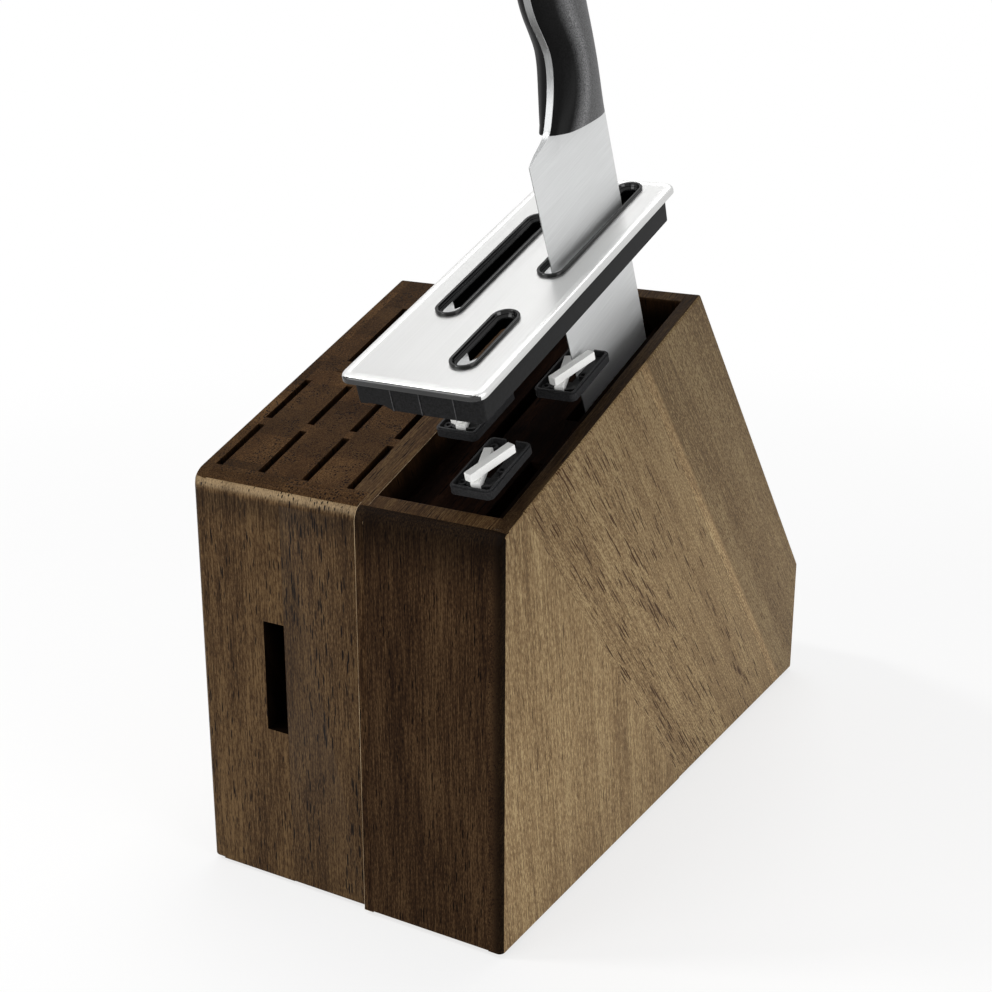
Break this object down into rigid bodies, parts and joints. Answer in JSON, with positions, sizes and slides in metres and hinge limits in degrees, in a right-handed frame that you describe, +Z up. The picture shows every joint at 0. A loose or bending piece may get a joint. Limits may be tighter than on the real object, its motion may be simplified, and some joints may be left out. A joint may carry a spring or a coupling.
{
  "type": "knife block with knives",
  "caption": "Slanted wooden knife block with slots, a lift-out sharpening cartridge held open above its well, and a wide-bladed knife standing in it.",
  "frame": {"origin": "bottom centre of the whole part's bounding box, on the plane under the non-slip pads", "axes": "+Z up; -Y towards the upright front faces; +X to the right seen from the front, so the well for the cartridge is on the +X side; the top climbs towards +Y"},
  "size_m": [0.127, 0.2862, 0.3884],
  "materials": {
    "wood": "satin lacquered dark acacia",
    "plate": "brushed, with a smoother rolled rim",
    "base": "fine satin, moulded",
    "bezel": "glossy, moulded",
    "guide": "satin, moulded",
    "tray": "satin, moulded",
    "ceramic": "fine matt, fired white ceramic",
    "blade": "satin ground",
    "handle": "satin, lightly grained",
    "feet": "matt"
  },
  "bodies": {
    "block": {"left_cheek_1": "wood", "left_cheek_2": "wood", "left_cheek_3": "wood", "left_cheek_4": "wood", "left_front_slotted": "wood", "left_front_plain": "wood", "steak_slat_1": "wood", "steak_slat_2": "wood", "steak_slat_3": "wood", "inner_cheek": "wood", "row_strips": "wood", "row_end_strips": "wood", "rear_slat_1": "wood", "rear_slat_2": "wood", "rear_slat_3": "wood", "long_slot_strips": "wood", "left_back_board": "wood", "well_wall": "wood", "right_front_board": "wood", "well_slat_left": "wood", "well_slat_middle": "wood", "well_slat_right": "wood", "left_slot_strips": "wood", "right_slot_strips": "wood", "right_back_board": "wood", "right_cheek_1": "wood", "right_cheek_2": "wood", "right_cheek_3": "wood", "right_cheek_4": "wood", "feet": "feet"},
    "cartridge": {"face_plate": "plate", "cartridge_base": "base", "short_bezel": "bezel", "left_bezel": "bezel", "rear_bezel": "bezel", "short_guide": "guide", "left_guide": "guide", "rear_guide": "guide"},
    "knife": {"blade": "blade", "handle_scale_left": "handle", "handle_scale_right": "handle"},
    "short_sharpener": {"short_tray": "tray", "short_stick_low": "ceramic", "short_stick_high": "ceramic"},
    "left_sharpener": {"left_tray": "tray", "left_stick_low": "ceramic", "left_stick_high": "ceramic"},
    "rear_sharpener": {"rear_tray": "tray", "rear_stick_low": "ceramic", "rear_stick_high": "ceramic"}
  },
  "joints": [
    {"name": "cartridge_slide", "type": "slide", "parent": "block", "child": "cartridge", "axis": [0, 0.3322, -0.9432], "range_m": [0, 0.0447]},
    {"name": "knife_slide", "type": "slide", "parent": "cartridge", "child": "knife", "axis": [0, 0.4131, -0.9107], "range_m": [-0.145, 0.0344]},
    {"name": "short_sharpener_slide", "type": "slide", "parent": "cartridge", "child": "short_sharpener", "axis": [0, -0.3322, 0.9432], "range_m": [0, 0.0309]},
    {"name": "left_sharpener_slide", "type": "slide", "parent": "cartridge", "child": "left_sharpener", "axis": [0, -0.3322, 0.9432], "range_m": [0, 0.0309]},
    {"name": "rear_sharpener_slide", "type": "slide", "parent": "cartridge", "child": "rear_sharpener", "axis": [0, -0.3322, 0.9432], "range_m": [0, 0.0309]}
  ],
  "couplings": [
    {"joint": "short_sharpener_slide", "follows": "cartridge_slide", "ratio": 0.69127},
    {"joint": "left_sharpener_slide", "follows": "cartridge_slide", "ratio": 0.69127},
    {"joint": "rear_sharpener_slide", "follows": "cartridge_slide", "ratio": 0.69127}
  ]
}
